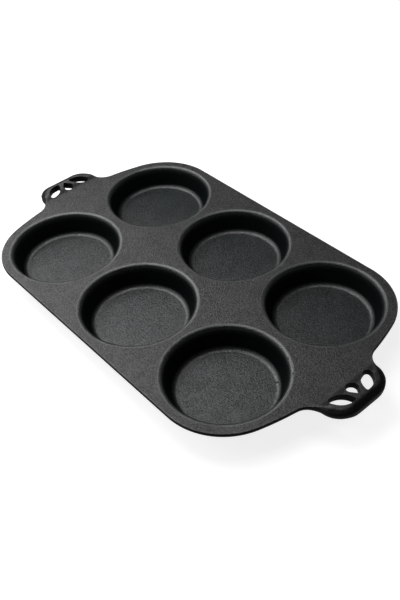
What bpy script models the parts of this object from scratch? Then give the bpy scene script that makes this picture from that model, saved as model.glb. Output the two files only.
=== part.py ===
"""Cast iron muffin pan: a flat deck with six shallow round cups and a pierced
tab handle at each short end.

The pan stands on its cup floors at z = 0 and is centred on the origin.  The
long axis is X, the short one Y, and +Z is up.  All sizes are in metres.

The real pan is one casting.  Here it is parted along its natural lines: the
rim of each cup, and the root of each handle.  A fine seam is left between the
parts, so that each one is a closed solid of its own.
"""

import math

import bmesh
import bpy
from mathutils import Vector

# Cups: three along the pan, two across
cup_columns = 3
cup_rows = 2
column_gap = 0.005        # deck left between neighbouring rims, along the pan
row_gap = 0.007           # the same across the pan
rim_radius = 0.0625       # where the rim's blend meets the flat deck
rim_blend = 0.0055        # radius of the blend from deck to cup wall
cup_depth = 0.023
cup_draft = math.radians(20)
floor_blend = 0.0045      # radius between cup wall and cup floor
wall_thickness = 0.0045
floor_thickness = 0.005
under_blend = 0.007       # radius under the cup, from wall to base

# Deck: long sides straight, short ends bowed outwards
side_margin = 0.008       # from the cup rims to the long side
end_margin = 0.018        # from the cup rims to the middle of the bowed end
corner_margin = 0.0055    # how much larger the deck's corner is than a rim
deck_thickness = 0.004
end_bow_radius = 0.298
edge_round = 0.0014

# Handles: a tab that rises a little above the deck and rolls over outside
handle_reach = 0.0318     # from the bowed end of the deck to the outer edge
handle_width = 0.0734
handle_corner_radius = 0.0222
root_blend = 0.0187       # hollow radius from the deck's end to the handle's corner
root_length = 0.0015      # how much of the handle's root stays on the deck
handle_rise = 0.0020      # how far its top stands above the deck
rise_length = 0.014       # length over which it rises from the root
side_round = 0.0018       # rounding of its top edge close to the root
roll_width = 0.0105       # the same at the outer edge, measured inwards
roll_growth = 0.022       # length over which the roll grows from the root
roll_wall = 0.0002        # upright edge left between the roll and the underside

# Three leaf-shaped holes in each handle, pointing at its outer edge
side_leaf_root_gap = 0.0049   # along X, from the root to where its sides meet
side_leaf_rim_gap = 0.0083    # and from there to the handle's outer edge
side_leaf_offset = 0.0174     # from the pan's centre line
side_leaf_tilt = math.radians(-49.5)
side_leaf_half_width = 0.0061
side_leaf_heel = 0.0035       # radius of the end towards the deck
side_leaf_tip = 0.0015        # radius of the end towards the outer edge
middle_leaf_root_gap = 0.0044     # along X, from the root to its heel
middle_leaf_rim_gap = 0.0103      # from its tip to the handle's outer edge
middle_leaf_heel = 0.0060
middle_leaf_tip = 0.0007

# Black seasoned iron: linear colour and roughness of each kind of part
deck_look = (0.030, 0.031, 0.031), 0.48
cup_look = (0.024, 0.026, 0.025), 0.52
handle_look = (0.028, 0.029, 0.029), 0.46
iron_metallic = 0.35

# The seam between neighbouring parts, and how finely curves are drawn
seam = 0.0003
round_steps = 48              # round a cup
arc_step = math.radians(9)    # along an outline
edge_steps = 3                # over the deck's rounded edge
rim_steps = 4
floor_steps = 3
under_steps = 2
roll_steps = 4
rise_steps = 6
crease_angle = math.radians(35)   # steeper folds than this look sharp
flat_angle = 0.001                # flatter folds than this are one face
cut_margin = 0.010                # how far a cutting shape stands out

column_pitch = 2 * rim_radius + column_gap
row_pitch = 2 * rim_radius + row_gap
half_length = (cup_columns - 1) * column_pitch / 2 + rim_radius + end_margin
half_width = (cup_rows - 1) * row_pitch / 2 + rim_radius + side_margin
corner_radius = rim_radius + corner_margin
deck_top = cup_depth + floor_thickness
deck_under = deck_top - deck_thickness
root_x = half_length + root_length
handle_end = half_length + handle_reach
handle_half = handle_width / 2
bow_centre_x = half_length - end_bow_radius


def empty_scene():
    """Removes every object that the file starts with."""
    for item in list(bpy.data.objects):
        bpy.data.objects.remove(item, do_unlink=True)


def new_collection(name):
    group = bpy.data.collections.new(name)
    bpy.context.scene.collection.children.link(group)
    return group


def iron(name, look):
    """Black seasoned cast iron, a little metallic under its oil film."""
    colour, roughness = look
    material = bpy.data.materials.new(name)
    material.use_nodes = True
    shader = material.node_tree.nodes["Principled BSDF"]
    shader.inputs["Base Color"].default_value = (*colour, 1.0)
    shader.inputs["Roughness"].default_value = roughness
    shader.inputs["Metallic"].default_value = iron_metallic
    material.diffuse_color = (*colour, 1.0)
    return material


def put(name, mesh, group, material=None):
    """Makes an object of a mesh and links it into a collection."""
    item = bpy.data.objects.new(name, mesh)
    group.objects.link(item)
    if material:
        mesh.materials.clear()
        mesh.materials.append(material)
    return item


def shade(mesh):
    mesh.shade_smooth()
    mesh.set_sharp_from_angle(angle=crease_angle)


def arc(centre, radius, start, end):
    """Points along an arc from one angle to the other, both ends included."""
    count = max(2, math.ceil(abs(end - start) / arc_step))
    angles = [start + (end - start) * i / count for i in range(count + 1)]
    return [
        (centre[0] + radius * math.cos(a), centre[1] + radius * math.sin(a))
        for a in angles
    ]


def without_repeats(points):
    """Drops each point that lies on the one before it."""
    kept = []
    for point in points:
        if not kept or math.dist(point, kept[-1]) > edge_round / 10:
            kept.append(point)
    return kept


def circles_meet(first, first_radius, second, second_radius):
    """Where two circles cross, on the left of the way from first to second."""
    apart = math.dist(first, second)
    along = (first_radius**2 - second_radius**2 + apart**2) / (2 * apart)
    aside = math.sqrt(first_radius**2 - along**2)
    way = ((second[0] - first[0]) / apart, (second[1] - first[1]) / apart)
    return (
        first[0] + way[0] * along - way[1] * aside,
        first[1] + way[1] * along + way[0] * aside,
    )


def end_quarter():
    """The outline's +X +Y quarter, from the long side to the handle's middle.

    The long side, the corner, the bowed end, the hollow root blend and the
    handle's corner are all tangent to each other.  The root blend's centre
    lies where it touches both the bowed end and the handle's corner.
    """
    to_corner = end_bow_radius - corner_radius
    corner_y = half_width - corner_radius
    corner_x = bow_centre_x + math.sqrt(to_corner**2 - corner_y**2)
    corner_end = math.atan2(corner_y, corner_x - bow_centre_x)
    bow_centre = (bow_centre_x, 0)
    tab_radius = min(handle_corner_radius, handle_half)
    tab_corner = (handle_end - tab_radius, handle_half - tab_radius)
    hollow = circles_meet(
        bow_centre, end_bow_radius + root_blend, tab_corner, tab_radius + root_blend
    )
    root_angle = math.atan2(hollow[1], hollow[0] - bow_centre_x)
    tab_angle = math.atan2(hollow[1] - tab_corner[1], hollow[0] - tab_corner[0])
    points = arc((corner_x, corner_y), corner_radius, math.pi / 2, corner_end)
    points += arc(bow_centre, end_bow_radius, corner_end, root_angle)
    points += arc(hollow, root_blend, root_angle + math.pi, tab_angle + math.pi)
    points += arc(tab_corner, tab_radius, tab_angle, 0)
    return without_repeats(points)


def mirrored_end(quarter):
    """The whole +X end: the quarter, then its mirror image across X."""
    return quarter + [(x, -y) for x, y in reversed(quarter)]


def plate(name, points, low, high, group):
    """A flat outline filled on both faces, as one mesh between two heights."""
    curve = bpy.data.curves.new(name, "CURVE")
    curve.dimensions = "2D"
    curve.fill_mode = "BOTH"
    curve.extrude = (high - low) / 2
    spline = curve.splines.new("POLY")
    spline.points.add(len(points) - 1)
    for spot, (x, y) in zip(spline.points, points):
        spot.co = (x, y, 0, 1)
    spline.use_cyclic_u = True
    drawn = bpy.data.objects.new(name + "_curve", curve)
    drawn.location.z = (high + low) / 2
    group.objects.link(drawn)
    bpy.context.view_layer.update()
    evaluated = drawn.evaluated_get(bpy.context.evaluated_depsgraph_get())
    mesh = bpy.data.meshes.new_from_object(evaluated)
    mesh.transform(drawn.matrix_world)
    bpy.data.objects.remove(drawn, do_unlink=True)
    body = bmesh.new()
    body.from_mesh(mesh)
    bmesh.ops.remove_doubles(body, verts=body.verts, dist=seam / 100)
    flat = [e for e in body.edges if len(e.link_faces) == 2 and e.calc_face_angle() < flat_angle]
    bmesh.ops.dissolve_edges(body, edges=flat)
    bmesh.ops.recalc_face_normals(body, faces=body.faces)
    body.to_mesh(mesh)
    body.free()
    return mesh


def cutter(item):
    """Marks an object as a cutting shape, which is not part of the pan."""
    item.hide_render = True
    item.display_type = "WIRE"
    return item


def box_cutter(name, low, high, group):
    body = bmesh.new()
    bmesh.ops.create_cube(body, size=1)
    size = Vector(high) - Vector(low)
    middle = (Vector(high) + Vector(low)) / 2
    bmesh.ops.scale(body, vec=size, verts=body.verts)
    bmesh.ops.translate(body, vec=middle, verts=body.verts)
    mesh = bpy.data.meshes.new(name)
    body.to_mesh(mesh)
    body.free()
    return cutter(put(name, mesh, group))


def cut(item, tool):
    change = item.modifiers.new("cut_" + tool.name, "BOOLEAN")
    change.operation = "DIFFERENCE"
    change.solver = "EXACT"
    change.object = tool


def settle(item):
    """Replaces an object's mesh by the one that its modifiers make."""
    bpy.context.view_layer.update()
    evaluated = item.evaluated_get(bpy.context.evaluated_depsgraph_get())
    mesh = bpy.data.meshes.new_from_object(evaluated)
    item.modifiers.clear()
    item.data = mesh


def cup_places():
    """The centre of each cup, column by column from -X, the -Y row first."""
    return [
        ((column - (cup_columns - 1) / 2) * column_pitch, (row - (cup_rows - 1) / 2) * row_pitch)
        for column in range(cup_columns)
        for row in range(cup_rows)
    ]


def blend_points(centre, radius, start, end, count):
    """An arc of the cup's section; angles turn from +X towards +Z."""
    angles = [start + (end - start) * i / count for i in range(count + 1)]
    return [
        (centre[0] + radius * math.cos(a), centre[1] + radius * math.sin(a))
        for a in angles
    ]


def wall_radius(z, outwards=0.0):
    """The cup wall's radius at a height, or that of its outside.

    The wall leans out by the draft, in a line that is tangent to the rim's
    blend.  Outwards is measured square to the wall.
    """
    top_radius = rim_radius - rim_blend * math.cos(cup_draft)
    top_z = deck_top - rim_blend * (1 - math.sin(cup_draft))
    return top_radius - (top_z - z) * math.tan(cup_draft) + outwards / math.cos(cup_draft)


def seat_radius():
    """Where the cup is parted from the deck: at the end of the rim's blend,
    or just outside the wall if a thick wall comes out further."""
    return max(rim_radius, wall_radius(deck_under, wall_thickness) + seam)


def cup_section():
    """The cup's half section, from the middle of its floor out over the rim
    and down the outside to the middle of its base."""
    foot_z = floor_thickness + floor_blend * (1 - math.sin(cup_draft))
    floor_x = wall_radius(foot_z) - floor_blend * math.cos(cup_draft)
    floor_middle = (floor_x, floor_thickness + floor_blend)
    rim_middle = (rim_radius, deck_top - rim_blend)
    base_z = under_blend * (1 - math.sin(cup_draft))
    base_x = wall_radius(base_z, wall_thickness) - under_blend * math.cos(cup_draft)
    neck_z = deck_under - (seat_radius() - wall_radius(deck_under, wall_thickness))
    points = [(0, floor_thickness)]
    points += blend_points(floor_middle, floor_blend, -math.pi / 2, -cup_draft, floor_steps)
    points += blend_points(rim_middle, rim_blend, math.pi - cup_draft, math.pi / 2, rim_steps)
    points += [(seat_radius(), deck_top), (seat_radius(), deck_under)]
    points += [(wall_radius(neck_z, wall_thickness), neck_z)]
    points += blend_points((base_x, under_blend), under_blend, -cup_draft, -math.pi / 2, under_steps)
    points += [(0, 0)]
    return without_repeats(points)


def make_cups(group, material):
    """Six turned cups, each with its rim, wall and floor in one piece."""
    section = cup_section()
    mesh = bpy.data.meshes.new("cup_section")
    edges = [(i, i + 1) for i in range(len(section) - 1)]
    mesh.from_pydata([(x, 0, z) for x, z in section], edges, [])
    pattern = put("cup_pattern", mesh, group, material)
    turn = pattern.modifiers.new("turn", "SCREW")
    turn.steps = round_steps
    turn.render_steps = round_steps
    turn.use_merge_vertices = True
    turn.merge_threshold = seam / 10
    settle(pattern)
    shade(pattern.data)
    for number, (x, y) in enumerate(cup_places(), start=1):
        cup = put(f"cup_{number}", pattern.data, group)
        cup.location = (x, y, 0)
    bpy.data.objects.remove(pattern, do_unlink=True)


def make_deck(group, cutters, material):
    """The flat deck: rounded edge, six seats for the cups, two handle roots."""
    end = mirrored_end(end_quarter())
    outline = end + [(-x, -y) for x, y in end]
    mesh = plate("deck_plate", outline, deck_under, deck_top, cutters)
    deck = put("deck_plate", mesh, group, material)
    edge = deck.modifiers.new("rounded_edge", "BEVEL")
    edge.width = edge_round
    edge.segments = edge_steps
    edge.limit_method = "ANGLE"
    edge.angle_limit = crease_angle
    for number, (x, y) in enumerate(cup_places(), start=1):
        body = bmesh.new()
        bmesh.ops.create_cone(
            body, cap_ends=True, segments=round_steps, radius1=seat_radius() + seam,
            radius2=seat_radius() + seam, depth=deck_thickness + 2 * cut_margin,
        )
        seat = bpy.data.meshes.new(f"seat_{number}")
        body.to_mesh(seat)
        body.free()
        tool = cutter(put(f"seat_{number}", seat, cutters))
        tool.location = (x, y, (deck_top + deck_under) / 2)
        cut(deck, tool)
    low = root_x - seam / 2
    high = handle_end + cut_margin
    for name, ends in (("near_root", (low, high)), ("far_root", (-high, -low))):
        corner = (ends[0], -handle_half - cut_margin, deck_under - cut_margin)
        other = (ends[1], handle_half + cut_margin, deck_top + cut_margin)
        cut(deck, box_cutter(name, corner, other, cutters))
    settle(deck)
    shade(deck.data)


def side_leaf(side):
    """The outline of a side hole: two long arcs, rounded at heel and tip.

    Before its ends are rounded the leaf reaches from one gap to the other, so
    its length and its width give the radius of its long sides.
    """
    start_x = root_x + side_leaf_root_gap
    stop_x = handle_end - side_leaf_rim_gap
    half_length_along = (stop_x - start_x) / (2 * math.cos(side_leaf_tilt))
    long_radius = (half_length_along**2 / side_leaf_half_width + side_leaf_half_width) / 2
    to_arc = long_radius - side_leaf_half_width

    def end_points(radius, direction):
        along = math.sqrt((long_radius - radius) ** 2 - to_arc**2)
        swing = math.atan2(to_arc, along)
        turned = arc((along, 0), radius, -swing, swing)
        return [(direction * x, direction * y) for x, y in turned]

    def long_side(first, last, direction):
        start = math.atan2(direction * first[1] + to_arc, first[0])
        stop = math.atan2(direction * last[1] + to_arc, last[0])
        turned = arc((0, -to_arc), long_radius, start, stop)
        return [(x, direction * y) for x, y in turned]

    tip = end_points(side_leaf_tip, 1)
    heel = end_points(side_leaf_heel, -1)
    loop = tip + long_side(tip[-1], heel[0], 1) + heel + long_side(heel[-1], tip[0], -1)
    loop = without_repeats(loop)[:-1]
    cosine, sine = math.cos(side_leaf_tilt), math.sin(side_leaf_tilt)
    placed = [
        ((start_x + stop_x) / 2 + x * cosine - y * sine,
         side * (side_leaf_offset + x * sine + y * cosine))
        for x, y in loop
    ]
    return placed if side > 0 else list(reversed(placed))


def middle_leaf():
    """The outline of the middle hole: a round heel drawn out to a tip."""
    heel_x = root_x + middle_leaf_root_gap + middle_leaf_heel
    tip_x = handle_end - middle_leaf_rim_gap - middle_leaf_tip
    slope = math.acos((middle_leaf_heel - middle_leaf_tip) / (tip_x - heel_x))
    loop = arc((tip_x, 0), middle_leaf_tip, -slope, slope)
    loop += arc((heel_x, 0), middle_leaf_heel, slope, 2 * math.pi - slope)
    return without_repeats(loop)


def growth(x, length):
    """0 at the handle's root, growing smoothly to 1 over a length along X."""
    t = min(max((x - root_x) / length, 0), 1)
    return t * t * (3 - 2 * t)


def handle_blank():
    """The handle's solid before its holes: a profile carried round its edge.

    At each point of the outline the profile runs from the top over the rolled
    edge to the flat underside.  The roll is widest at the outer edge and fades
    to the deck's plain rounded edge at the root, where the top comes down to
    the deck.  The top is then parted across X, so that it follows its rise.
    """
    quarter = [(x, y) for x, y in end_quarter() if x > half_length - cut_margin]
    path = [Vector(p) for p in mirrored_end(quarter)]
    rings = [[] for _ in range(roll_steps + under_steps + 2)]
    for i, spot in enumerate(path):
        ahead = path[min(i + 1, len(path) - 1)] - path[max(i - 1, 0)]
        inwards = Vector((ahead.y, -ahead.x)).normalized()
        plain = edge_round + (side_round - edge_round) * growth(spot.x, rise_length)
        share = growth(spot.x, roll_growth)
        width = plain + (roll_width - plain) * share
        crest = deck_top + handle_rise * growth((spot + inwards * width).x, rise_length)
        whole_drop = crest - deck_under - edge_round - roll_wall
        drop = plain + (whole_drop - plain) * share
        for k in range(roll_steps + 1):
            angle = math.pi / 2 * k / roll_steps
            at = spot + inwards * width * (1 - math.sin(angle))
            rings[k].append((at.x, at.y, crest - drop * (1 - math.cos(angle))))
        for k in range(under_steps + 1):
            angle = math.pi / 2 * k / under_steps
            at = spot + inwards * edge_round * (1 - math.cos(angle))
            height = deck_under + edge_round * (1 - math.sin(angle))
            rings[roll_steps + 1 + k].append((at.x, at.y, height))
    body = bmesh.new()
    rows = [[body.verts.new(p) for p in ring] for ring in rings]
    for upper, lower in zip(rows, rows[1:]):
        for i in range(len(path) - 1):
            body.faces.new((upper[i], upper[i + 1], lower[i + 1], lower[i]))
    top = body.faces.new(list(reversed(rows[0])))
    body.faces.new(rows[-1])
    first = [row[0] for row in rows]
    last = [row[-1] for row in rows]
    body.faces.new(first + list(reversed(last)))
    parts = [top] + list(top.edges)
    for k in range(1, rise_steps + 1):
        spot = Vector((root_x + rise_length * k / rise_steps, 0, deck_top))
        done = bmesh.ops.bisect_plane(body, geom=parts, plane_co=spot, plane_no=(1, 0, 0))
        parts = done["geom"]
    mesh = bpy.data.meshes.new("handle")
    body.to_mesh(mesh)
    body.free()
    return mesh


def make_handles(group, cutters, material):
    """The near handle at +X, and the far one as its half turn about Z."""
    near = put("handle_near", handle_blank(), group, material)
    low, high = deck_under - cut_margin, deck_top + cut_margin
    corner = (half_length - 2 * cut_margin, -half_width, low)
    other = (root_x + seam / 2, half_width, high)
    cut(near, box_cutter("handle_root", corner, other, cutters))
    holes = {"leaf_left": side_leaf(1), "leaf_middle": middle_leaf(), "leaf_right": side_leaf(-1)}
    for name, outline in holes.items():
        tool = put(name, plate(name, outline, low, high, cutters), cutters)
        cut(near, cutter(tool))
    settle(near)
    shade(near.data)
    far = put("handle_far", near.data, group)
    far.rotation_euler.z = math.pi


def main():
    empty_scene()
    pan = new_collection("cast_iron_muffin_pan")
    cutters = new_collection("cutting_shapes")
    make_deck(pan, cutters, iron("deck_iron", deck_look))
    make_cups(pan, iron("cup_iron", cup_look))
    make_handles(pan, cutters, iron("handle_iron", handle_look))
    bpy.context.view_layer.update()


main()
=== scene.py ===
# %% [markdown]
# A cast iron muffin pan is poured in one piece: a flat deck, six wide shallow
# cups that hang from it, and a pierced tab at each short end to lift it by.
# Here its solid model is loaded as a fixed frame.  Each of its solids is then
# replaced by a finer surface in the same place, because what makes cast iron
# look like cast iron is soft edges: every corner of a casting is a radius.

# %% Load the frame
import math

import bmesh
import bpy
import numpy as np
from mathutils import Matrix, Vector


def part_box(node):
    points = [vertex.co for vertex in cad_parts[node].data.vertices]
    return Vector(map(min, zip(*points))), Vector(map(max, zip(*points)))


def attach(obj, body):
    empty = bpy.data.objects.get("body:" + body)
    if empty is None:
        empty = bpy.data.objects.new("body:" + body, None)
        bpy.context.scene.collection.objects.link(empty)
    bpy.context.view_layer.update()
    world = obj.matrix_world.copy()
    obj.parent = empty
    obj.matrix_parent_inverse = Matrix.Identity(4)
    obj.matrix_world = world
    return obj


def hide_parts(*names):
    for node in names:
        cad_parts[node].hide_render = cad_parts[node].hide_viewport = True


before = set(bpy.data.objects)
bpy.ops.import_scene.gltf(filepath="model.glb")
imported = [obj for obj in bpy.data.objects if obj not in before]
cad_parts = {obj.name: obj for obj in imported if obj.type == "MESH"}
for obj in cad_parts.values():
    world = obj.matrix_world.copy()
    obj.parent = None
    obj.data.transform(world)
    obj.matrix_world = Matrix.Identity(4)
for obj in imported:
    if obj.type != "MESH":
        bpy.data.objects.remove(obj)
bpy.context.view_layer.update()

# %% [markdown]
# The sizes come first, in metres.  What the frame can say is read from it, so
# the fine surfaces stay on the solids.  The pan is its own mirror image both
# ways, so only the quarter at +X and +Y is worked out, and mirrored.

# %% Sizes of the casting
column_pitch = 0.130      # between the cups' axes along the pan
row_pitch = 0.132         # the same across it
rim_radius = 0.0625       # where a cup's rim meets the flat deck
rim_blend = 0.0055        # radius of the rim's section
cup_draft = math.radians(20)    # how far the walls lean out
floor_blend = 0.0065      # radius between wall and floor
floor_level = 0.005       # of a cup's floor above its base
wall = 0.0045             # thickness of the walls
under_blend = 0.007       # radius round a cup's base, outside
fillet = 0.004            # hollow radius under the deck, round each cup

deck_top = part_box("cup_1")[1].z
deck_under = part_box("deck_plate")[0].z
half_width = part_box("deck_plate")[1].y
handle_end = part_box("handle_near")[1].x
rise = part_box("handle_near")[1].z - deck_top
half_length = 0.2105      # to the middle of a bowed end
corner_radius = 0.068
bow_radius = 0.298        # of the bowed ends
edge_round = 0.0014       # radius of the deck's edge
print("deck", round(deck_top - deck_under, 4), "thick, its top at", round(deck_top, 4))

# %% Sizes of the handles
root_x = 0.212            # where a handle meets the deck
root_blend = 0.0187       # radius of the hollow beside the handle
tab_half = 0.0367         # half the handle's width
tab_corner = 0.0222
rise_length = 0.014       # from the root to where its top is level again
side_round = 0.0018       # radius of its edge beside the root
roll_width = 0.0118       # of the rolled edge
roll_drop = 0.0038        # how far the top falls over it
corner_drop = 0.0030      # the same at the handle's corners
roll_slant = 0.3          # the parabola's share of its section
roll_growth = 0.022       # from the root to where the roll is whole
tab_extra = 0.0015        # how much the handle is thicker than the deck below
tab_start = 0.204         # where it starts to get thicker
tab_growth = 0.013        # and over what length
lip_depth = 0.0023        # how far the rim hangs down further at the end
lip_flat = 0.002          # width of the lip's level part
lip_width = 0.009         # and of the slope behind it
end_half = 0.027          # half the length of that lip, and of the deep roll
end_fade = 0.017          # over which both fade out
print("each handle is", round(2 * tab_half, 4), "wide and", round(rise, 4), "higher than the deck")

# %% Spacing of the points
strip = 0.003             # width of the band along the pan's edge
path_step = 0.0002        # along the outline, before it is spaced out evenly
cell_step = 0.0013        # between the columns round a cup
tab_step = 0.0003         # between the columns round a hole in the handle
merge_gap = 2e-6          # points nearer than this become one
print("the handles reach", round(handle_end - half_length, 4), "beyond the bowed ends")

# %% [markdown]
# The pan's outline is made of arcs that run into each other smoothly: the
# round corner, the bowed end, the hollow where the handle grows out of it,
# and the handle's own corner.  A modeller could draw it as a Bezier curve.
# Worked out with numpy, it also gives the direction that points into the
# iron at each point, which every rounded edge below is built on.


# %% Arcs and straights
def arc(centre, radius, start, stop, into=-1, step=path_step):
    """An arc: centre plus radius times (cosine, sine) of an even run of angles.
    Each row is a point and the direction into the iron, which is the same
    (cosine, sine), turned round where into is -1."""
    count = max(3, math.ceil(abs(stop - start) * radius / step))
    angle = np.linspace(start, stop, count + 1)
    spoke = np.column_stack((np.cos(angle), np.sin(angle)))
    return np.hstack((np.array(centre) + radius * spoke, into * spoke))


def straight(start, stop, into, step=path_step):
    """A straight: a mix of its two ends, with one direction into the iron."""
    count = max(2, math.ceil(math.dist(start, stop) / step))
    share = np.linspace(0, 1, count + 1)[:, None]
    points = (1 - share) * np.array(start) + share * np.array(stop)
    return np.hstack((points, np.tile(into, (count + 1, 1))))


def even_steps(rows, step):
    """The same path with points at equal distances along it."""
    gaps = np.hypot(*np.diff(rows[:, :2], axis=0).T)
    along = np.concatenate(([0], np.cumsum(gaps)))
    places = np.linspace(0, along[-1], max(2, round(along[-1] / step)) + 1)
    found = np.column_stack([np.interp(places, along, column) for column in rows.T])
    found[:, 2:] /= np.hypot(found[:, 2], found[:, 3])[:, None]
    return found


def circles_meet(first, first_radius, second, second_radius):
    """Where two circles cross, on the left of the way from first to second:
    Pythagoras gives how far along that way the crossing lies, and how far
    to its side."""
    first, second = np.array(first), np.array(second)
    apart = math.dist(first, second)
    along = (first_radius**2 - second_radius**2 + apart**2) / (2 * apart)
    aside = math.sqrt(first_radius**2 - along**2)
    way = (second - first) / apart
    return first + along * way + aside * np.array((-way[1], way[0]))


print("a corner of the pan takes", len(arc((0, 0), corner_radius, 0, math.pi / 2)), "points")

# %% The outline's quarter
bow = (half_length - bow_radius, 0)
corner_y = half_width - corner_radius
corner_x = bow[0] + math.sqrt((bow_radius - corner_radius) ** 2 - corner_y**2)
corner_stop = math.atan2(corner_y, corner_x - bow[0])
tab = (handle_end - tab_corner, tab_half - tab_corner)
hollow = circles_meet(bow, bow_radius + root_blend, tab, tab_corner + root_blend)
root_angle = math.atan2(hollow[1], hollow[0] - bow[0])
tab_angle = math.atan2(hollow[1] - tab[1], hollow[0] - tab[0])
seam_angle = 2 * math.pi - math.acos((root_x - hollow[0]) / (root_blend + strip))
deck_path = np.vstack((
    straight((0, half_width), (corner_x, half_width), (0, -1)),
    arc((corner_x, corner_y), corner_radius, math.pi / 2, corner_stop),
    arc(bow, bow_radius, corner_stop, root_angle),
    arc(hollow, root_blend, root_angle + math.pi, seam_angle, into=1),
))
handle_path = np.vstack((
    arc(hollow, root_blend, seam_angle, tab_angle + math.pi, into=1),
    arc(tab, tab_corner, tab_angle, 0),
    straight((handle_end, tab[1]), (handle_end, 0), (-1, 0)),
))
end_path = np.vstack((deck_path[deck_path[:, 0] > tab_start - strip], handle_path))
print("hollow's middle at", hollow.round(4), "and the seam at", handle_path[0, :2].round(4))

# %% [markdown]
# The handle's top stands a little above the deck, and its outer edge rolls
# over in a wide soft curve, so that a gloved hand meets no corner.  Below, the
# handle is thicker than the deck, and its end hangs down in a low lip, which
# stiffens it.  All of this grows smoothly from nothing at the root.  The roll
# is a quarter of an ellipse mixed with a parabola, which starts to slope sooner.


# %% The handle's heights
def smooth(t):
    """0 below 0, 1 above 1, and the smooth step t*t*(3 - 2t) between."""
    t = np.clip(t, 0, 1)
    return t * t * (3 - 2 * t)


def at_end(spot_y):
    """1 along the middle of the handle's end, fading to 0 at its corners."""
    return smooth((end_half - np.abs(spot_y)) / end_fade)


def roll_size(spot_x, spot_y):
    """Width and drop of the rounded edge at a spot of the outline: the deck's
    plain round at the root, the roll at the corners, the deep roll between.
    Then how much of its section is a parabola's, the rest being an ellipse's."""
    lift = smooth((spot_x - root_x) / rise_length)
    plain = edge_round + (side_round - edge_round) * lift
    share = smooth((spot_x - root_x) / roll_growth)
    deepest = corner_drop + (roll_drop - corner_drop) * at_end(spot_y)
    return plain + (roll_width - plain) * share, plain + (deepest - plain) * share, roll_slant * share


def top_height(x, inwards, spot_x, spot_y):
    """The top's height: the deck's, plus the rise, less the fall over the edge.
    inwards is the distance from the outline, and the spot its nearest point."""
    width, drop, slant = roll_size(spot_x, spot_y)
    share = np.clip(1 - inwards / width, 0, 1)
    lift = rise * smooth((x - root_x) / rise_length)
    return deck_top + lift - drop * ((1 - slant) * (1 - np.sqrt(1 - share**2)) + slant * share**2)


def under_height(x, inwards, spot_y):
    """The underside's height: the deck's, less a smooth step where the handle
    gets thicker, less a lip whose section is a smooth step as well."""
    thicker = tab_extra * smooth((x - tab_start) / tab_growth)
    lip = lip_depth * at_end(spot_y) * smooth(1 - (inwards - lip_flat) / lip_width)
    return deck_under - thicker - lip


def from_outline(points):
    """How far inside the iron each point lies, and the x and y of the
    outline's nearest spot.  That spot is found among all of the end's points,
    and the rest of the way along the outline is added with its tangent."""
    flat = points.reshape(-1, 2)
    away = flat[:, None, :] - end_path[None, :, :2]
    spot = end_path[np.argmin((away**2).sum(2), axis=1)]
    gap = flat - spot[:, :2]
    inwards = (gap * spot[:, 2:]).sum(1)
    along = gap[:, 0] * spot[:, 3] - gap[:, 1] * spot[:, 2]
    found = np.stack((inwards, spot[:, 0] + along * spot[:, 3], spot[:, 1] - along * spot[:, 2]))
    return found.reshape(3, *points.shape[:-1])


def end_top(points):
    """The top's height at points of the end, each measured from the outline."""
    return top_height(points[..., 0], *from_outline(points))


def end_under(points):
    """The underside's height at points of the end, in the same way."""
    inwards, _, spot_y = from_outline(points)
    return under_height(points[..., 0], inwards, spot_y)


lip_spot = np.array((handle_end - lip_flat, 0))
print("the handle's end is", (end_top(lip_spot) - end_under(lip_spot)).round(4), "thick at its lip")

# %% [markdown]
# Every surface is a grid: its rows and columns are the two parameters.  A
# grid can be mirrored by changing the sign of x or y, which turns it inside
# out, so its columns are reversed as well.  The grids of one piece are put
# into one mesh and merged where they meet, so there is no crack to see.


# %% Grids into a mesh
def mirrored(grids, across_x=True):
    """Each grid with its mirror image across Y = 0, and across X = 0 too."""
    signs = [(1, 1), (1, -1)] + [(-1, 1), (-1, -1)] * across_x
    return [grid[:, ::x * y] * np.array((x, y, 1)) for x, y in signs for grid in grids]


def grid_faces(rows, columns):
    """Corner numbers of a grid's squares, which face along row x column."""
    number = np.arange(rows * columns).reshape(rows, columns)
    corners = (number[:-1, :-1], number[1:, :-1], number[1:, 1:], number[:-1, 1:])
    return np.stack(corners, -1).reshape(-1, 4)


def merged(name, grids, start=None):
    """One mesh of all the grids, and of a mesh to start from, with the points
    that lie on each other merged."""
    first, squares = 0, []
    for grid in grids:
        squares.append(grid_faces(*grid.shape[:2]) + first)
        first += grid.shape[0] * grid.shape[1]
    mesh = bpy.data.meshes.new(name)
    places = np.vstack([grid.reshape(-1, 3) for grid in grids])
    mesh.from_pydata(places, [], np.vstack(squares).tolist())
    body = bmesh.new()
    if start:
        body.from_mesh(start)
    body.from_mesh(mesh)
    bmesh.ops.remove_doubles(body, verts=body.verts, dist=merge_gap)
    bmesh.ops.dissolve_degenerate(body, edges=body.edges, dist=merge_gap / 10)
    body.to_mesh(mesh)
    body.free()
    return mesh


print("a grid of 3 by 4 points has", len(grid_faces(3, 4)), "faces")

# %% [markdown]
# Where a casting turns a corner, it is a little paler and glossier, partly from wear and partly as a painted
# highlight.  In the corners of the cups' floors a painted highlight lies, and in tight hollows soot stays.
# So each point gets a number for how the surface bends there, which the finish reads as an attribute.  It
# comes from the mesh: along an edge, how much the normal leans over, for each metre, and at a point the mean
# of its edges.


# %% How the surface bends
spread_rounds = 2         # how often a point takes the mean of its neighbours
sharpest = math.radians(40)    # between two faces, past which an edge stays sharp


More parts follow.
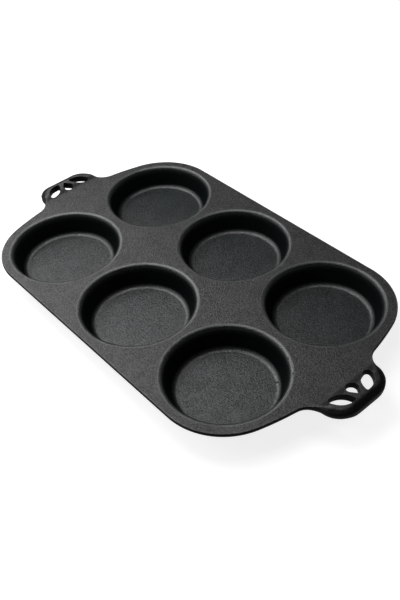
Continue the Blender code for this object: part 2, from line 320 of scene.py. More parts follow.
def write_bend(mesh):
    """Stores the attribute bend: the mean, over a point's edges, of the change
    of normal along the edge over its length, so 1 / radius.  Then it is
    spread a little, by averaging each point with its neighbours."""
    count = len(mesh.vertices)
    place = np.empty(count * 3)
    mesh.vertices.foreach_get("co", place)
    normal = np.empty(count * 3)
    mesh.vertex_normals.foreach_get("vector", normal)
    ends = np.empty(len(mesh.edges) * 2, int)
    mesh.edges.foreach_get("vertices", ends)
    place, normal, (a, b) = place.reshape(-1, 3), normal.reshape(-1, 3), ends.reshape(-1, 2).T
    way = place[b] - place[a]
    turn = ((normal[b] - normal[a]) * way).sum(1) / np.maximum((way**2).sum(1), merge_gap**2)
    edges_here = np.maximum(np.bincount(a, minlength=count) + np.bincount(b, minlength=count), 1)
    bend_here = (np.bincount(a, turn, count) + np.bincount(b, turn, count)) / edges_here
    for _ in range(spread_rounds):
        around = np.bincount(a, bend_here[b], count) + np.bincount(b, bend_here[a], count)
        bend_here = (bend_here + around / edges_here) / 2
    stored = mesh.attributes.new("bend", "FLOAT", "POINT")
    stored.data.foreach_set("value", bend_here.astype(np.float32))
    return bend_here


def cast_piece(name, surface, joints=()):
    """One piece of the casting: the surface that shows, and the faces inside
    the iron where it meets its neighbours, which close the body."""
    shown = merged(name, surface)
    shown.shade_smooth()
    bend_here = write_bend(shown)
    whole = merged(name, list(joints), shown) if joints else shown
    body = bmesh.new()
    body.from_mesh(whole)
    gaps = [edge for edge in body.edges if edge.is_boundary]
    bmesh.ops.holes_fill(body, edges=gaps, sides=0)
    volume = body.calc_volume(signed=True)
    if volume < 0:
        bmesh.ops.reverse_faces(body, faces=body.faces)
    open_edges = sum(not edge.is_manifold for edge in body.edges)
    body.to_mesh(whole)
    body.free()
    whole.shade_smooth()
    whole.set_sharp_from_angle(angle=sharpest)
    piece = bpy.data.objects.new(name, whole)
    bpy.context.scene.collection.objects.link(piece)
    print(f"{name}: {len(whole.polygons)} faces, {volume * 1e6:.1f} cm3, {len(gaps)} edges closed, "
          f"{open_edges} left open, bends {bend_here.min():.0f} to {bend_here.max():.0f} per metre")
    return piece


# %% [markdown]
# A cup is a turned shape: one section, carried round an axis.  Blender's
# Screw or Spin would turn it too.  The section starts in the middle of the
# floor, goes up the leaning wall and over the rim, and stops just past the
# rim, where the deck takes over.  Under the deck it goes on round a hollow
# fillet, down the outside and in to the middle of the base.


# %% The cups' section
def curve(centre, radius, start, stop, count):
    """An arc of the section: angles in degrees, from +X towards +Z."""
    angle = np.radians(np.linspace(start, stop, count + 1))
    return np.array(centre) + radius * np.column_stack((np.cos(angle), np.sin(angle)))


def line(start, stop, count):
    """A straight: an even mix of its two ends."""
    share = np.linspace(0, 1, count + 1)[:, None]
    return (1 - share) * np.array(start) + share * np.array(stop)


def chained(*runs):
    """Runs of points end to end, each joint's point kept once."""
    return np.vstack([runs[0]] + [run[1:] for run in runs[1:]])


draft = math.degrees(cup_draft)
rim_middle = (rim_radius, deck_top - rim_blend)
wall_top = curve(rim_middle, rim_blend, 180 - draft, 180 - draft, 1)[0]


def wall_radius(z, outwards=0.0):
    """The wall's radius at a height: a line that leans out by the draft."""
    return wall_top[0] - (wall_top[1] - z) * math.tan(cup_draft) + outwards / math.cos(cup_draft)


half_seam = 0.00015       # to the middle of the gap that the solids leave
floor_z = floor_level + floor_blend
foot_z = floor_z - floor_blend * math.sin(cup_draft)
floor_x = wall_radius(foot_z) - floor_blend * math.cos(cup_draft)
base_z = under_blend * (1 - math.sin(cup_draft))
base_x = wall_radius(base_z, wall) - under_blend * math.cos(cup_draft)
seam_radius = rim_radius + half_seam
fillet_x = wall_radius(deck_under, wall) + fillet * math.tan(math.radians(45) - cup_draft / 2)
fillet_foot = (fillet_x - fillet * math.cos(cup_draft), deck_under - fillet * (1 - math.sin(cup_draft)))
inside = chained(
    line((0, floor_level), (floor_x, floor_level), count=14),
    curve((floor_x, floor_z), floor_blend, -90, -draft, count=14),
    line((wall_radius(foot_z), foot_z), wall_top, count=10),
    curve(rim_middle, rim_blend, 180 - draft, 90, count=18),
    line((rim_radius, deck_top), (seam_radius, deck_top), count=1),
)
outside = chained(
    curve((fillet_x, deck_under - fillet), fillet, 90, 180 - draft, count=10),
    line(fillet_foot, (wall_radius(base_z, wall), base_z), count=8),
    curve((base_x, under_blend), under_blend, -draft, -90, count=10),
    line((base_x, 0), (0, 0), count=10),
)
print("flat floor", round(2 * floor_x, 4), "across, mouth", round(2 * rim_radius, 4))


# %% Turn the cups
def turned(section, centre, steps=192):
    """A section carried round a vertical axis: (radius cosine, radius sine,
    height), with a row for each point of the section."""
    angle = np.linspace(0, 2 * math.pi, steps + 1)
    radius, height = section[:, :1], np.broadcast_to(section[:, 1:], (len(section), steps + 1))
    return np.stack((centre[0] + radius * np.cos(angle), centre[1] + radius * np.sin(angle), height), -1)


flange = np.vstack((inside[-1], outside[0]))
cups = {}
for number in range(6):
    column, row = divmod(number, 2)
    centre = ((column - 1) * column_pitch, (row - 0.5) * row_pitch)
    surface = [turned(inside, centre), turned(outside, centre)]
    cups[f"cup_{number + 1}"] = cast_piece(f"turned_cup_{number + 1}", surface, [turned(flange, centre)])

# %% [markdown]
# The deck is a sheet with six round holes.  Round each hole lies a ring: one
# parameter goes round, the other from the hole's edge out to the border of
# its cell.  The borders are shared, so the rings fit together like tiles.
# Along the pan's edge runs a narrow band, whose section is carried along
# the outline: over the rounded edge, down the side and under.


# %% Rings and bands
over_points, under_points = 27, 9    # over the rounded edge, and round to the underside


def points_along(start, stop, step=cell_step):
    """Even points on a straight border."""
    return line(start, stop, max(1, round(math.dist(start, stop) / step)))


def ring(inner, outer, rows):
    """From an inner loop (share 0) to an outer one (share 1), in a straight
    mix of the two."""
    share = np.linspace(0, 1, rows + 1)[:, None, None]
    return (1 - share) * inner + share * outer


def at_height(grid, height):
    """A flat grid set at a height, which is one number or one for each point."""
    return np.dstack((grid, np.broadcast_to(height, grid.shape[:2])))


def circle_facing(centre, radius, border):
    """The points of a circle that lie in line with each point of a border."""
    spoke = border - np.array(centre)
    return np.array(centre) + radius * spoke / np.hypot(*spoke.T)[:, None]


def inset(path, by=strip):
    """A path moved into the iron: each point plus a distance times its
    direction into the iron."""
    return path[:, :2] + by * path[:, 2:]


def edge_band(path):
    """The band along the outline.  Over the top its distance from the outline
    shrinks like 1 - sine, so the steps get finer as the edge gets steeper.
    Then comes the side, and a quarter circle to the underside."""
    x, y = path[None, :, 0], path[None, :, 1]
    over = strip * (1 - np.sin(np.linspace(0, math.pi / 2, over_points)))[:, None, None]
    top = path[None, :, :2] + over * path[None, :, 2:]
    top = at_height(top, top_height(top[..., 0], over[..., 0], x, y))
    foot = under_height(x, 0, y)
    share = np.array((0.5, 1))[:, None]
    down = (1 - share) * top[-1, :, 2] + share * (foot + edge_round)
    side = at_height(np.tile(path[:, :2], (2, 1, 1)), down)
    quarter = np.linspace(0, math.pi / 2, under_points)[1:, None]
    turned_in, lifted = edge_round * (1 - np.cos(quarter)), edge_round * (1 - np.sin(quarter))
    bottom = path[None, :, :2] + turned_in[..., None] * path[None, :, 2:]
    bottom = at_height(bottom, under_height(bottom[..., 0], turned_in, y) + lifted)
    last = inset(path)[None]
    last = at_height(last, under_height(last[..., 0], strip, y))
    return np.vstack((top, side, bottom, last))[:, ::-1]


print("the band along the edge is", len(edge_band(deck_path[:1])), "points wide")

# %% The deck
split_x = column_pitch / 2
split_row = np.array((split_x, half_width, 0, -1))
before_split = deck_path[:, 0] <= split_x
long_side = even_steps(np.vstack((deck_path[before_split], split_row)), cell_step)
end_side = even_steps(np.vstack((split_row, deck_path[~before_split])), cell_step)
between = points_along((split_x, 0), (split_x, half_width - strip))
corner_border = chained(
    points_along((split_x, 0), (root_x, 0)), points_along((root_x, 0), inset(end_side)[-1]),
    inset(end_side)[::-1], between[::-1],
)
middle_border = chained(points_along((0, 0), (split_x, 0)), between, inset(long_side)[::-1])
deck_surface, deck_joints = [edge_band(chained(long_side, end_side))], []
for centre_x, border in ((column_pitch, corner_border), (0, middle_border)):
    rim = circle_facing((centre_x, row_pitch / 2), seam_radius, border)
    collar = circle_facing((centre_x, row_pitch / 2), fillet_x, border)
    underside = ring(collar, border, rows=16)
    deck_surface.append(at_height(ring(rim, border, rows=10), deck_top))
    deck_surface.append(at_height(underside, end_under(underside))[:, ::-1])
    joint = np.vstack((at_height(rim[None], deck_top), at_height(collar[None], deck_under)))
    deck_joints.append(joint[:, ::-1])
deck = cast_piece("smooth_deck", mirrored(deck_surface), mirrored(deck_joints))

# %% [markdown]
# Each handle is pierced by three leaves that point at its outer edge.  The
# side leaves are two long arcs with a round heel and a fine tip, and the
# middle one is a round heel drawn out to a tip.  A cutter and a Boolean
# would make them as well, but not the soft edge that a casting has round
# each hole, so here the handle is built from rings, as the deck is.  The
# sand that formed a hole had to come out, so the hole narrows downwards.

# %% Sizes of the leaves
side_gaps = (0.0049, 0.0083)      # from the root and from the outer edge
side_half = 0.0061                # half its width
side_heel, side_tip = 0.0035, 0.0015      # radii of its ends
side_offset, side_tilt = 0.0174, math.radians(-49.5)    # from the handle's middle, and its lean
middle_gaps = (0.0044, 0.0103)
middle_heel, middle_tip = 0.0060, 0.0007
middle_shift, middle_squeeze = 0.001, 0.75    # where its ring is seen from, and how
hole_round, foot_round = 0.0004, 0.00025  # radii of the hole's edges, above and below
hole_top, hole_foot = -0.0001, -0.0005    # how far the wall stands off the leaf
hole_points = 8                   # over each of those edges
print("the leaves keep", side_gaps[1], "and", middle_gaps[1], "from the handle's end")


# %% The leaves
def side_leaf():
    """The side leaf round its middle: tip, long arc, round heel, long arc.
    Also gives its middle, and the frame in which it is about as long as wide."""
    start_x, stop_x = root_x + side_gaps[0], handle_end - side_gaps[1]
    half_long = (stop_x - start_x) / 2 / math.cos(side_tilt)
    long_radius = (half_long**2 / side_half + side_half) / 2
    back = long_radius - side_half
    tip_at = math.sqrt((long_radius - side_tip) ** 2 - back**2)
    heel_at = math.sqrt((long_radius - side_heel) ** 2 - back**2)
    tip_swing, heel_swing = math.atan2(back, tip_at), math.atan2(back, heel_at)
    loop = np.vstack((
        arc((tip_at, 0), side_tip, -tip_swing, tip_swing, into=1, step=path_step / 4),
        arc((0, -back), long_radius, tip_swing, math.pi - heel_swing, into=1),
        arc((-heel_at, 0), side_heel, math.pi - heel_swing, math.pi + heel_swing, into=1),
        arc((0, back), long_radius, math.pi + heel_swing, 2 * math.pi - tip_swing, into=1),
    ))
    cosine, sine = math.cos(side_tilt), math.sin(side_tilt)
    turn = np.array(((cosine, sine), (-sine, cosine)))
    middle = np.array(((start_x + stop_x) / 2, side_offset))
    leaf = np.hstack((loop[:, :2] @ turn + middle, loop[:, 2:] @ turn))
    return leaf, middle, turn.T * (side_half / half_long, 1)


def middle_leaf():
    """The middle leaf: tip, straight side, round heel, straight side."""
    heel_x = root_x + middle_gaps[0] + middle_heel
    tip_x = handle_end - middle_gaps[1] - middle_tip
    slope = math.acos((middle_heel - middle_tip) / (tip_x - heel_x))
    way = np.array((math.cos(slope), math.sin(slope)))
    down = way * (1, -1)
    tip, heel = np.array((tip_x, 0)), np.array((heel_x, 0))
    loop = np.vstack((
        arc(tip, middle_tip, -slope, slope, into=1, step=path_step / 4),
        straight(tip + middle_tip * way, heel + middle_heel * way, way),
        arc(heel, middle_heel, slope, 2 * math.pi - slope, into=1),
        straight(heel + middle_heel * down, tip + middle_tip * down, down),
    ))
    return loop, heel + (middle_shift, 0), np.diag((middle_squeeze, 1))


def loop_facing(leaf, middle, squeeze, border):
    """The leaf's points that lie in line with each point of a border.  Both
    are seen from the middle, in a frame squeezed along the leaf, so that its
    ends get as many points as its sides."""
    def angles(points):
        """The angle at which the middle sees each point."""
        x, y = ((points - middle) @ squeeze).T
        return np.arctan2(y, x)

    angle, wanted = angles(leaf[:, :2]), angles(border)
    order = np.argsort(angle)
    found = [np.interp(wanted, angle[order], column[order], period=2 * math.pi) for column in leaf.T]
    return np.column_stack(found)


print("a side leaf has", len(side_leaf()[0]), "points and the middle one", len(middle_leaf()[0]))

# %% The cells round the holes
split_y, split_lean = 0.0139, 0.41    # where their common border starts, and its slope
tab_side = even_steps(handle_path, tab_step)
tab_inset = inset(tab_side)
meet = np.argmax(tab_inset[:, 1] < split_y - split_lean * (tab_inset[:, 0] - root_x))
split_start = np.array((root_x, split_y))
dividing = points_along(split_start, tab_inset[meet], tab_step)
middle_line = points_along((root_x, 0), split_start, tab_step)
side_line = points_along(split_start, tab_inset[0], tab_step)
middle_cell = chained(tab_inset[:meet - 1:-1], dividing[::-1], middle_line[::-1])
side_cell = chained(tab_inset[meet::-1], side_line[::-1], dividing)
print("the borders have", len(middle_cell), "and", len(side_cell), "points")


# %% The handles
def pierced(leaf, middle, squeeze, border):
    """The ring round a hole above and below, and the hole's wall between them:
    a quarter circle over the top edge, the wall, a quarter circle below."""
    base = loop_facing(leaf, middle, squeeze, border)
    quarter = np.linspace(0, math.pi / 2, hole_points)[:, None]
    over = hole_top + hole_round * (1 - np.sin(quarter))
    over = base[None, :, :2] + over[..., None] * base[None, :, 2:]
    over = at_height(over, end_top(over) - hole_round * (1 - np.cos(quarter)))
    foot = hole_foot + foot_round * (1 - np.cos(quarter))
    foot = base[None, :, :2] + foot[..., None] * base[None, :, 2:]
    foot = at_height(foot, end_under(foot) + foot_round * (1 - np.sin(quarter)))
    between = ring(over[-1], foot[0], rows=6)[1:-1]
    top = ring(over[0, :, :2], border, rows=22)
    under = ring(foot[-1, :, :2], border, rows=12)
    return [
        at_height(top, end_top(top)),
        at_height(under, end_under(under))[:, ::-1],
        np.vstack((over, between, foot))[:, ::-1],
    ]


quarter_tab = [edge_band(tab_side)]
quarter_tab += pierced(*side_leaf(), side_cell)
quarter_tab += pierced(*middle_leaf(), middle_cell)
near_tab = mirrored(quarter_tab, across_x=False)
far_tab = [grid * np.array((-1, -1, 1)) for grid in near_tab]
handles = {
    "handle_near": cast_piece("smooth_handle_near", near_tab),
    "handle_far": cast_piece("smooth_handle_far", far_tab),
}

# %% [markdown]
# Cast iron is black because oil is burnt onto it in thin coats.  Under them
# lies the skin that the sand mould left: a fine even grain, a faint swell
# and a few small pits.  A picture of real iron could be wrapped round the
# pan, but it would stretch on the walls and end at a seam.  So one node group
# makes that skin for every piece, from noise in the object's own coordinates,
# and it runs on across the pieces as it does on the one casting.


# %% Helpers for nodes
def node(tree, kind, settings=(), **sockets):
    """Adds a node, with its settings, and the values or links of its inputs.
    An input is named, or has its number after the letter i."""
    made = tree.nodes.new(kind)
    for name, value in dict(settings).items():
        setattr(made, name, value)
    for name, value in sockets.items():
        socket = made.inputs[int(name[1:]) if name[1:].isdigit() else name.replace("_", " ")]
        if isinstance(value, bpy.types.NodeSocket):
            tree.links.new(value, socket)
        else:
            socket.default_value = value
    return made


def sum_of(tree, kind, *values):
    """A Math node's result: kind is ADD, MULTIPLY, MULTIPLY_ADD and so on."""
    sockets = {f"i{number}": value for number, value in enumerate(values)}
    return node(tree, "ShaderNodeMath", {"operation": kind}, **sockets).outputs[0]


def all_of(tree, kind, first, *others):
    """The product or the largest of many values, by Math nodes in a row."""
    for value in others:
        first = sum_of(tree, kind, first, value)
    return first


def mapped(tree, value, span, new_low=0.0, new_high=1.0, kind="LINEAR"):
    """A value moved from one span (low, high) to another, and kept inside it.
    The kind SMOOTHSTEP leaves one end and reaches the other softly."""
    return node(tree, "ShaderNodeMapRange", {"interpolation_type": kind},
                i0=value, i1=span[0], i2=span[1], i3=new_low, i4=new_high).outputs[0]


def mixed(tree, share, first, second):
    """A mix of two colours, each a link or three numbers."""
    first, second = ((*c, 1) if isinstance(c, tuple) else c for c in (first, second))
    return node(tree, "ShaderNodeMix", {"data_type": "RGBA"}, i0=share, i6=first, i7=second).outputs[2]


def new_group(name, inputs, outputs):
    """An empty node group with its sockets.  Gives the group, its input
    sockets, and a function that fills an output."""
    group = bpy.data.node_groups.new(name, "ShaderNodeTree")
    for socket, kind in inputs.items():
        group.interface.new_socket(socket, in_out="INPUT", socket_type=kind)
    for socket in outputs:
        group.interface.new_socket(socket, in_out="OUTPUT", socket_type="NodeSocketFloat")
    result = node(group, "NodeGroupOutput")

    def give(socket, value):
        """Links a value to one of the group's outputs."""
        group.links.new(value, result.inputs[socket])

    return group, node(group, "NodeGroupInput").outputs, give


# %% The cast skin
swell_scale, patch_scale, pit_scale = 24.0, 60.0, 120.0    # how many to a metre
swell_height, pit_height = 0.8, -0.9    # as shares of the grain's height
pit_edge = (0.06, 0.15)   # a pit's flat middle and its brim, in cells
pit_rare = 0.955          # the share of cells without a pit
pit_dark = 0.5
grain_contrast, grain_offset, patch_contrast = 1.9, -0.65, 0.4    # in the film's thickness
skin, given, give = new_group(
    "cast_skin", {"Place": "NodeSocketVector", "Grain": "NodeSocketFloat"}, ("Height", "Film", "Pits"),
)
place = given["Place"]
noise = "ShaderNodeTexNoise"
sand = node(skin, noise, Vector=place, Scale=given["Grain"], Detail=4.0, Roughness=0.62).outputs[0]
swelling = node(skin, noise, Vector=place, Scale=swell_scale, Detail=2.0).outputs[0]
patches = node(skin, noise, Vector=place, Scale=patch_scale, Detail=5.0, Roughness=0.6).outputs[0]
pit_cell = node(skin, "ShaderNodeTexVoronoi", Vector=place, Scale=pit_scale)
pit_deep = mapped(skin, pit_cell.outputs["Distance"], pit_edge, 1.0, 0.0)
pit_lot = node(skin, "ShaderNodeSeparateColor", Color=pit_cell.outputs["Color"]).outputs[0]
pits = sum_of(skin, "MULTIPLY", pit_deep, sum_of(skin, "GREATER_THAN", pit_lot, pit_rare))
height = sum_of(skin, "MULTIPLY_ADD", pits, pit_height, sand)
give("Height", sum_of(skin, "MULTIPLY_ADD", swelling, swell_height, height))
grains = sum_of(skin, "MULTIPLY_ADD", sand, grain_contrast, grain_offset)
give("Film", sum_of(skin, "MULTIPLY_ADD", patches, patch_contrast, grains))
give("Pits", sum_of(skin, "MULTIPLY", pits, pit_dark))
print("the cast skin takes", len(skin.nodes), "nodes")

# %% [markdown]
# The burnt oil is a dark film with a soft sheen, so it is made as the coat of the shader over a dull black
# ground.  Its sheen is set by the way a face looks: it is whole on faces that look up, weaker on faces that
# look down, and almost gone on steep faces.  The colour of those steep faces is also darkened nearly to
# black, which is painted shade on the cups' walls and the outer sides.  A painted sheen reaches a little way
# down the cups' walls and fades downwards, and a painted highlight lies in the corners of the cups' floors.
# Rounded edges are a little greyer and glossier, partly from wear and partly as a painted highlight, and soot
# stays in sharp hollows and in the pits.  The height of the surface's normal, which is 1 where a face looks
# straight up, says how steep a face is.  Such masks could be painted, but these follow any change of form.

# %% Where the film lies
tone_span, film_span = (0.25, 0.75), (0.28, 0.72)    # thin to thick, for colour and sheen
edge_bend = (15.0, 90.0)          # rounded edges: one over the radius in metres
sharp_bend = (150.0, 450.0)       # edges so sharp that their wear and painted highlight fade
hollow_bend = (-200.0, -600.0)    # hollows where soot stays
corner_bend = (-30.0, -100.0)     # the corners of the cups' floors
corner_tilt = (0.35, 0.85)        # the normal's height there
wall_tilt = (0.2, 0.33)           # the normal's height on walls that get the painted sheen
under_tilt = (0.08, -0.5)         # the normal's height on faces that look down
wall_sheen_depth = (deck_top - 0.008, deck_top - 0.001)    # how low the painted sheen on the walls reaches, and where it is whole
# the painted sheen on the cups' walls reaches down to this height
print("the cloth reaches down the walls to", round(wall_sheen_depth[0], 4), "above the floor")

# %% How much film, sheen, painted shade and soot
steep_face_sheen = 0.02         # the sheen on steep faces, whose lack paints their shade
thin_film = 0.48          # where the noise leaves the film thinnest
under_sheen = 0.7          # on the underside
corner_highlight_weight = 0.8         # a painted highlight in the corners of the cups' floors
wear_and_highlight_sheen = 0.5          # sheen added on rounded edges, as wear and painted highlight, and in those corners, as painted highlight
pit_film = 0.3            # left of the film in a pit
sharp_wear_and_highlight = 0.2          # left of the wear and painted highlight on a sharp edge
# painted shade on the faces with the least sheen, and soot in tight hollows
painted_wall_shade, hollow_soot = 0.9, 0.6
print("the film is at least", steep_face_sheen, "of its full weight")

# %% The oil film, with its painted sheen and shade
oil_and_light, given, give = new_group(
    "oil_film_and_painted_light",
    dict.fromkeys(("Film", "Pits", "Bend", "Up", "Steep", "Level", "Rise", "Reach"), "NodeSocketFloat"),
    ("Tone", "WearAndHighlight", "SootAndShade", "Sheen", "Dull"),
)
bend, up, whole = given["Bend"], given["Up"], (0.0, 1.0)
tone = mapped(oil_and_light, given["Film"], tone_span)
# rounded edges: partly wear, partly a painted highlight
wear_and_highlight = sum_of(oil_and_light, "MULTIPLY", mapped(oil_and_light, bend, edge_bend), mapped(oil_and_light, bend, sharp_bend, 1.0, sharp_wear_and_highlight))
hollowed = mapped(oil_and_light, bend, hollow_bend, 0.0, hollow_soot)
# sheen by the way a face looks: whole looking up, least on steep faces, whose lack of it paints their shade
above = mapped(oil_and_light, up, (given["Steep"], given["Level"]), steep_face_sheen, kind="SMOOTHSTEP")
below = mapped(oil_and_light, up, under_tilt, 0.0, under_sheen, "SMOOTHSTEP")
# a painted sheen on the tops of the cups' walls, darker towards the bottom
painted_wall_sheen = all_of(
    oil_and_light, "MULTIPLY", mapped(oil_and_light, given["Rise"], wall_sheen_depth), mapped(oil_and_light, up, wall_tilt), given["Reach"],
)
# a painted highlight in the corners of the cups' floors
painted_corner_highlight = sum_of(
    oil_and_light, "MULTIPLY", mapped(oil_and_light, up, corner_tilt, kind="SMOOTHSTEP"),
    mapped(oil_and_light, bend, corner_bend, 0.0, corner_highlight_weight),
)
painted_facing_sheen = all_of(oil_and_light, "MAXIMUM", above, below, painted_wall_sheen, painted_corner_highlight)
thick = mapped(oil_and_light, given["Film"], film_span, thin_film)
thick_and_highlight = sum_of(oil_and_light, "MULTIPLY_ADD", sum_of(oil_and_light, "MAXIMUM", wear_and_highlight, painted_corner_highlight), wear_and_highlight_sheen, thick)
clear = mapped(oil_and_light, given["Pits"], whole, 1.0, pit_film)
give("Tone", tone)
give("WearAndHighlight", wear_and_highlight)
# darkening: painted shade where the sheen is least, soot in tight hollows, and the pits
give("SootAndShade", all_of(oil_and_light, "MAXIMUM", mapped(oil_and_light, painted_facing_sheen, whole, painted_wall_shade, 0.0), hollowed, given["Pits"]))
give("Sheen", all_of(oil_and_light, "MULTIPLY", painted_facing_sheen, thick_and_highlight, clear))
give("Dull", sum_of(oil_and_light, "SUBTRACT", sum_of(oil_and_light, "ADD", hollowed, 1.0), tone))
print("the oil film takes", len(oil_and_light.nodes), "nodes")

# %% [markdown]
# The deck, the cups and the handles have the same finish in slightly different states.  The cups are a trace
# greener and darker, as they hold more oil.  The handles' colours are darker than the deck's, and their sheen
# fades on gentler slopes, which paints shade on their rolled edge.  One function builds all three, and each
# is told its colours, how coarse its grain is and how steep a face may be before its sheen fades and its
# colour darkens as painted shade.

# %% The seasoned iron
wear_and_highlight_share, wear_and_highlight_gain = 0.1, 1.5    # how far rounded edges turn paler, as wear and painted highlight, and how pale that is
soot_and_shade_gain = 0.4           # the colour of the soot and of the painted shade, as a share of the dark one
dull_span, rough_less, rough_more = (0.0, 1.6), 0.1, 0.12    # the spread of the roughness
iron_gloss = 0.03         # of the ground under the film
film_index = 1.65         # how strongly the film bends light
relief_strength = 0.7


def seasoned(name, dark, light, rough, grain, relief, film_rough, steep, level, reach=0.0):
    """The finish of one kind of piece: the colours of thick and thin film, the iron's roughness, how many
    grains lie on a metre, their relief, the roughness of the film, how far up a face looks where its sheen
    begins and where it is whole, below which the colour darkens as painted shade, and how much painted sheen
    lies on the tops of the walls."""
    material = bpy.data.materials.new(name)
    material.use_nodes = True
    tree = material.node_tree
    shader = tree.nodes["Principled BSDF"]
    spot = node(tree, "ShaderNodeTexCoord").outputs
    cast = node(tree, "ShaderNodeGroup", {"node_tree": skin}, Place=spot["Object"], Grain=grain).outputs
    film_and_painted_light = node(
        tree, "ShaderNodeGroup", {"node_tree": oil_and_light}, Film=cast["Film"], Pits=cast["Pits"],
        Bend=node(tree, "ShaderNodeAttribute", {"attribute_name": "bend"}).outputs["Fac"],
        Up=node(tree, "ShaderNodeSeparateXYZ", Vector=spot["Normal"]).outputs["Z"],
        Rise=node(tree, "ShaderNodeSeparateXYZ", Vector=spot["Object"]).outputs["Z"],
        Steep=steep, Level=level, Reach=reach,
    ).outputs
    colour = mixed(tree, film_and_painted_light["Tone"], dark, light)
    # paler on rounded edges: partly wear, partly a painted highlight
    paler = sum_of(tree, "MULTIPLY", film_and_painted_light["WearAndHighlight"], wear_and_highlight_share)
    colour = mixed(tree, paler, colour, tuple(wear_and_highlight_gain * c for c in light))
    # darker as painted shade where the sheen is least, as soot in tight hollows, and in the pits
    colour = mixed(tree, film_and_painted_light["SootAndShade"], colour, tuple(soot_and_shade_gain * c for c in dark))
    tree.links.new(colour, shader.inputs["Base Color"])
    dull = mapped(tree, film_and_painted_light["Dull"], dull_span, rough - rough_less, rough + rough_more)
    tree.links.new(dull, shader.inputs["Roughness"])
    # the coat's weight is the sheen, painted by the way each face looks, times the film's own thickness
    tree.links.new(film_and_painted_light["Sheen"], shader.inputs["Coat Weight"])
    bump = node(tree, "ShaderNodeBump", Strength=relief_strength, Distance=relief, Height=cast["Height"])
    tree.links.new(bump.outputs["Normal"], shader.inputs["Normal"])
    tree.links.new(bump.outputs["Normal"], shader.inputs["Coat Normal"])
    shader.inputs["Specular IOR Level"].default_value = iron_gloss
    shader.inputs["Coat Roughness"].default_value = film_rough
    shader.inputs["Coat IOR"].default_value = film_index
    return material


finishes = {
    "deck_iron": seasoned(
        "seasoned_deck", dark=(0.0048, 0.0049, 0.0047), light=(0.0115, 0.0114, 0.0111), rough=0.6,
        grain=700.0, relief=0.0010, film_rough=0.35, steep=0.6, level=0.95,
    ),
    "cup_iron": seasoned(
        "seasoned_cup", dark=(0.0030, 0.0055, 0.0052), light=(0.0080, 0.0135, 0.0130), rough=0.62,
        grain=680.0, relief=0.0008, film_rough=0.31, steep=0.66, level=0.97, reach=0.38,
    ),
    # darker colours, and a sheen that fades on gentle slopes: painted shade on the rolled edge
    "handle_iron": seasoned(
        "seasoned_handle", dark=(0.0036, 0.0037, 0.0035), light=(0.0080, 0.0079, 0.0077), rough=0.58,
        grain=700.0, relief=0.0008, film_rough=0.38, steep=0.966, level=0.998, reach=0.1,
    ),
}
print("finishes:", ", ".join(finishes))

# %% Dress the pieces
for piece, node_name, slot in (
    [(deck, "deck_plate", "deck_iron")]
    + [(cup, name, "cup_iron") for name, cup in cups.items()]
    + [(handle, name, "handle_iron") for name, handle in handles.items()]
):
    piece.data.materials.clear()
    piece.data.materials.append(finishes[slot])
    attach(piece, "root")
    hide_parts(node_name)
print(1 + len(cups) + len(handles), "pieces dressed")

# %% [markdown]
# The pan stands on white paper.  In a studio the paper curves up behind the
# object, so that no horizon shows, and here it does so all round, because
# the pan is looked at from every side.  A profile turned with the Screw
# modifier would make it too.  The picture's background is pure white, so the
# paper gives a little light of its own to what looks at it directly or in a
# reflection, and it keeps the pan's soft shadow.

# %% The floor
floor_reach, cove_radius, wall_height, first_ring = 5.0, 1.0, 1.6, 1.0
floor_sides, cove_points = 64, 12
floor_gap = 0.0003                # between the paper and the pan's base
paper_grey, paper_rough, paper_gloss, paper_glow = 0.45, 0.9, 0.1, 0.82
# The profile is a level line, a quarter circle and a short wall.  It is turned
# clockwise, so that the paper faces up and inwards.
climb = np.linspace(0, math.pi / 2, cove_points)
cove_end = floor_reach + cove_radius
cove_x = np.concatenate(((0.0, first_ring), floor_reach + cove_radius * np.sin(climb), (cove_end,)))
cove_z = np.concatenate(((0.0, 0.0), cove_radius * (1 - np.cos(climb)), (wall_height,)))
around = np.linspace(2 * math.pi, 0, floor_sides + 1)
floor_mesh = merged("studio_floor", [np.dstack((
    np.outer(np.cos(around), cove_x), np.outer(np.sin(around), cove_x), np.tile(cove_z, (floor_sides + 1, 1)),
))])
floor_mesh.shade_smooth()
floor = bpy.data.objects.new("studio_floor", floor_mesh)
bpy.context.scene.collection.objects.link(floor)
floor.location.z = -floor_gap
print("the floor looks up:", min(face.normal.z for face in floor_mesh.polygons) > -merge_gap)

# %% The white paper
paper = bpy.data.materials.new("white_paper")
paper.use_nodes = True
tree = paper.node_tree
shader = tree.nodes["Principled BSDF"]
shader.inputs["Base Color"].default_value = (paper_grey, paper_grey, paper_grey, 1)
shader.inputs["Roughness"].default_value = paper_rough
shader.inputs["Specular IOR Level"].default_value = paper_gloss
shader.inputs["Emission Color"].default_value = (1, 1, 1, 1)
rays = node(tree, "ShaderNodeLightPath").outputs
seen = all_of(tree, "ADD", rays["Is Camera Ray"], rays["Is Glossy Ray"], rays["Is Transmission Ray"])
tree.links.new(sum_of(tree, "MULTIPLY", seen, paper_glow), shader.inputs["Emission Strength"])
floor_mesh.materials.append(paper)
print("the paper glows at", paper_glow)

# %% [markdown]
# In the photograph the cups' walls that face the camera are black and their
# floors glow evenly, so the light comes from the left and from high behind
# the pan.  Four large square lamps stand there.  A large lamp gives a soft
# highlight, and a low strength shows each colour about as it is written.


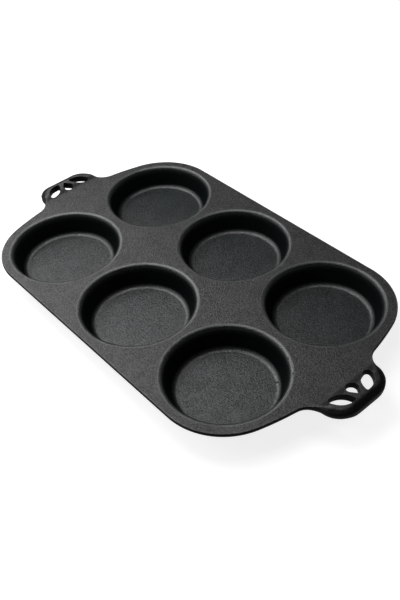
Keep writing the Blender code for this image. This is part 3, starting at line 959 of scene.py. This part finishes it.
# %% Directions
def axes(azimuth, elevation):
    """Three directions at right angles: level across, upwards, and away from
    the pan.  The last is (cosine, sine) of the azimuth, from +X towards +Y,
    times the elevation's cosine, and the elevation's sine."""
    azimuth, elevation = math.radians(azimuth), math.radians(elevation)
    flat = math.cos(elevation)
    away = np.array((math.cos(azimuth) * flat, math.sin(azimuth) * flat, math.sin(elevation)))
    level = np.array((-math.sin(azimuth), math.cos(azimuth), 0))
    return level, np.cross(away, level), away


def set_up(name, data, place, across, upwards, away):
    """A lamp or a camera at a place, which looks back along away."""
    item = bpy.data.objects.new(name, data)
    bpy.context.scene.collection.objects.link(item)
    item.location = place
    item.rotation_euler = Matrix(np.column_stack((across, upwards, away)).tolist()).to_euler()
    return item


print("from the front and 45 degrees up:", axes(-90, 45)[2].round(3))

# %% The lamps
lamp_target = np.array((0, 0, 0.02))
for name, azimuth, elevation, distance, side, power in (
    ("high_softbox", 185, 55, 0.8, 0.55, 3.0),
    ("top_softbox", 150, 75, 0.8, 0.55, 2.0),
    ("left_softbox", 180, 30, 1.6, 1.0, 4.8),
    ("front_softbox", 225, 35, 1.6, 1.0, 7.5),
):
    lamp = bpy.data.lights.new(name, "AREA")
    lamp.shape, lamp.size, lamp.energy = "SQUARE", side, power
    level, upwards, away = axes(azimuth, elevation)
    set_up(name, lamp, lamp_target + distance * away, level, upwards, away)
    print(f"{name}: {side} m wide, {power} W")

# %% The air
air_strength = 0.07
world = bpy.data.worlds.new("studio_air")
bpy.context.scene.world = world
world.use_nodes = True
background = world.node_tree.nodes["Background"]
background.inputs["Color"].default_value = (1, 1, 1, 1)
background.inputs["Strength"].default_value = air_strength
print("the air adds a faint light of", air_strength)

# %% [markdown]
# The camera stands where the photographer's did, in front of the pan's near
# corner and above it, held slightly tilted.  Its place was found by fitting
# the cup rims and the deck's outline.

# %% The camera
aim = np.array((0.041425, -0.019243, deck_top))
distance, tilt = 0.783539, math.radians(-5.126)
level, upwards, back = axes(-37.704, 42.809)
right = math.cos(tilt) * level + math.sin(tilt) * upwards
upright = math.cos(tilt) * upwards - math.sin(tilt) * level
lens = bpy.data.cameras.new("camera")
lens.lens = 46.887
camera = set_up("camera", lens, aim + distance * back, right, upright, back)
bpy.context.scene.camera = camera
bpy.context.scene.view_settings.view_transform = "Standard"
print("the camera stands", round(camera.location.z, 3), "above the floor")
